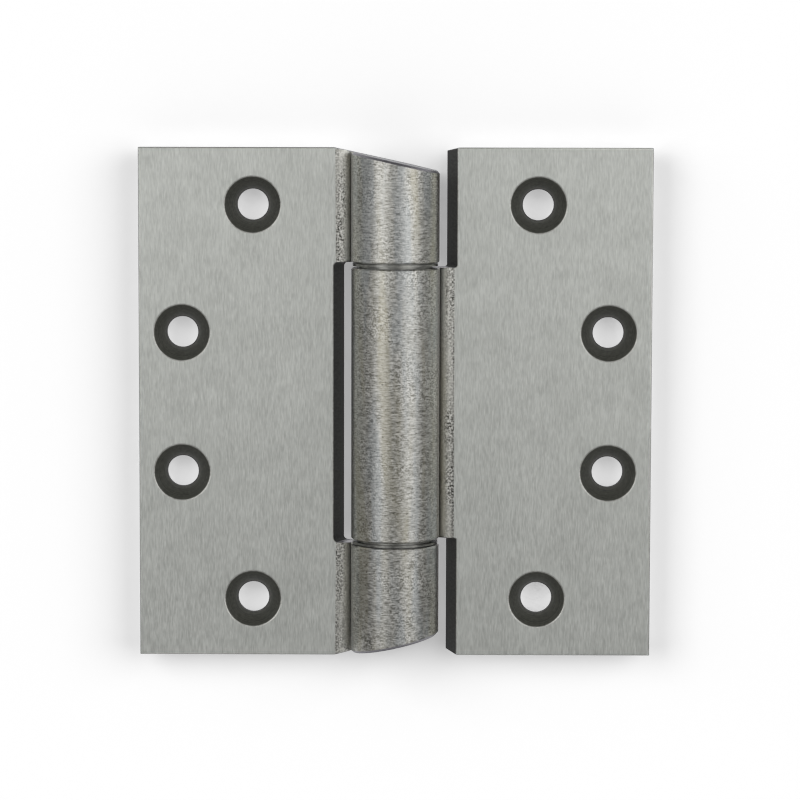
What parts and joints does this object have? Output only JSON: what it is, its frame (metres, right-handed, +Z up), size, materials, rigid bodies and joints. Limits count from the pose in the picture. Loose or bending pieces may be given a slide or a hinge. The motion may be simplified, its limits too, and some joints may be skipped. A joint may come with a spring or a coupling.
{
  "type": "butt hinge",
  "caption": "Butt hinge, opened flat: swaged steel leaves rolled into thick knuckles with sloped tips, turning on a hidden pin and ball thrust bearings.",
  "frame": {"origin": "on the pin axis at mid height, which is the middle of the box of the hinge opened flat", "axes": "+X from the pin axis across the door leaf, +Z up along the pin, -Y the way the countersunk faces look with the hinge opened flat"},
  "size_m": [0.115, 0.0196, 0.1142],
  "materials": {
    "leaf_steel": "satin brushed along the pin, dark in the cut edges and countersinks",
    "pin_steel": "ground",
    "tip_steel": "ground",
    "race_steel": "hardened and turned",
    "ball_steel": "polished",
    "cage_brass": "stamped",
    "bush_bronze": "turned bronze"
  },
  "bodies": {
    "frame": {"frame_leaf": "leaf_steel", "hinge_pin": "pin_steel", "top_tip": "tip_steel", "bottom_tip": "tip_steel", "upper_fixed_race": "race_steel", "lower_fixed_race": "race_steel"},
    "door": {"door_leaf": "leaf_steel", "upper_turning_race": "race_steel", "lower_turning_race": "race_steel", "upper_bush": "bush_bronze", "lower_bush": "bush_bronze"},
    "upper_balls": {"upper_ball_cage": "cage_brass", "upper_ball_01": "ball_steel", "upper_ball_02": "ball_steel", "upper_ball_03": "ball_steel", "upper_ball_04": "ball_steel", "upper_ball_05": "ball_steel", "upper_ball_06": "ball_steel", "upper_ball_07": "ball_steel", "upper_ball_08": "ball_steel", "upper_ball_09": "ball_steel", "upper_ball_10": "ball_steel", "upper_ball_11": "ball_steel", "upper_ball_12": "ball_steel"},
    "lower_balls": {"lower_ball_cage": "cage_brass", "lower_ball_01": "ball_steel", "lower_ball_02": "ball_steel", "lower_ball_03": "ball_steel", "lower_ball_04": "ball_steel", "lower_ball_05": "ball_steel", "lower_ball_06": "ball_steel", "lower_ball_07": "ball_steel", "lower_ball_08": "ball_steel", "lower_ball_09": "ball_steel", "lower_ball_10": "ball_steel", "lower_ball_11": "ball_steel", "lower_ball_12": "ball_steel"}
  },
  "joints": [
    {"name": "leaf_swing", "type": "hinge", "parent": "frame", "child": "door", "pos_m": [0, 0, 0], "axis": [0, 0, 1], "range_deg": [-180, 115]},
    {"name": "upper_cage_roll", "type": "hinge", "parent": "frame", "child": "upper_balls", "pos_m": [0, 0, 0], "axis": [0, 0, 1], "range_deg": [-90, 57.5]},
    {"name": "lower_cage_roll", "type": "hinge", "parent": "frame", "child": "lower_balls", "pos_m": [0, 0, 0], "axis": [0, 0, 1], "range_deg": [-90, 57.5]}
  ],
  "couplings": [
    {"joint": "upper_cage_roll", "follows": "leaf_swing", "ratio": 0.5},
    {"joint": "lower_cage_roll", "follows": "leaf_swing", "ratio": 0.5}
  ]
}
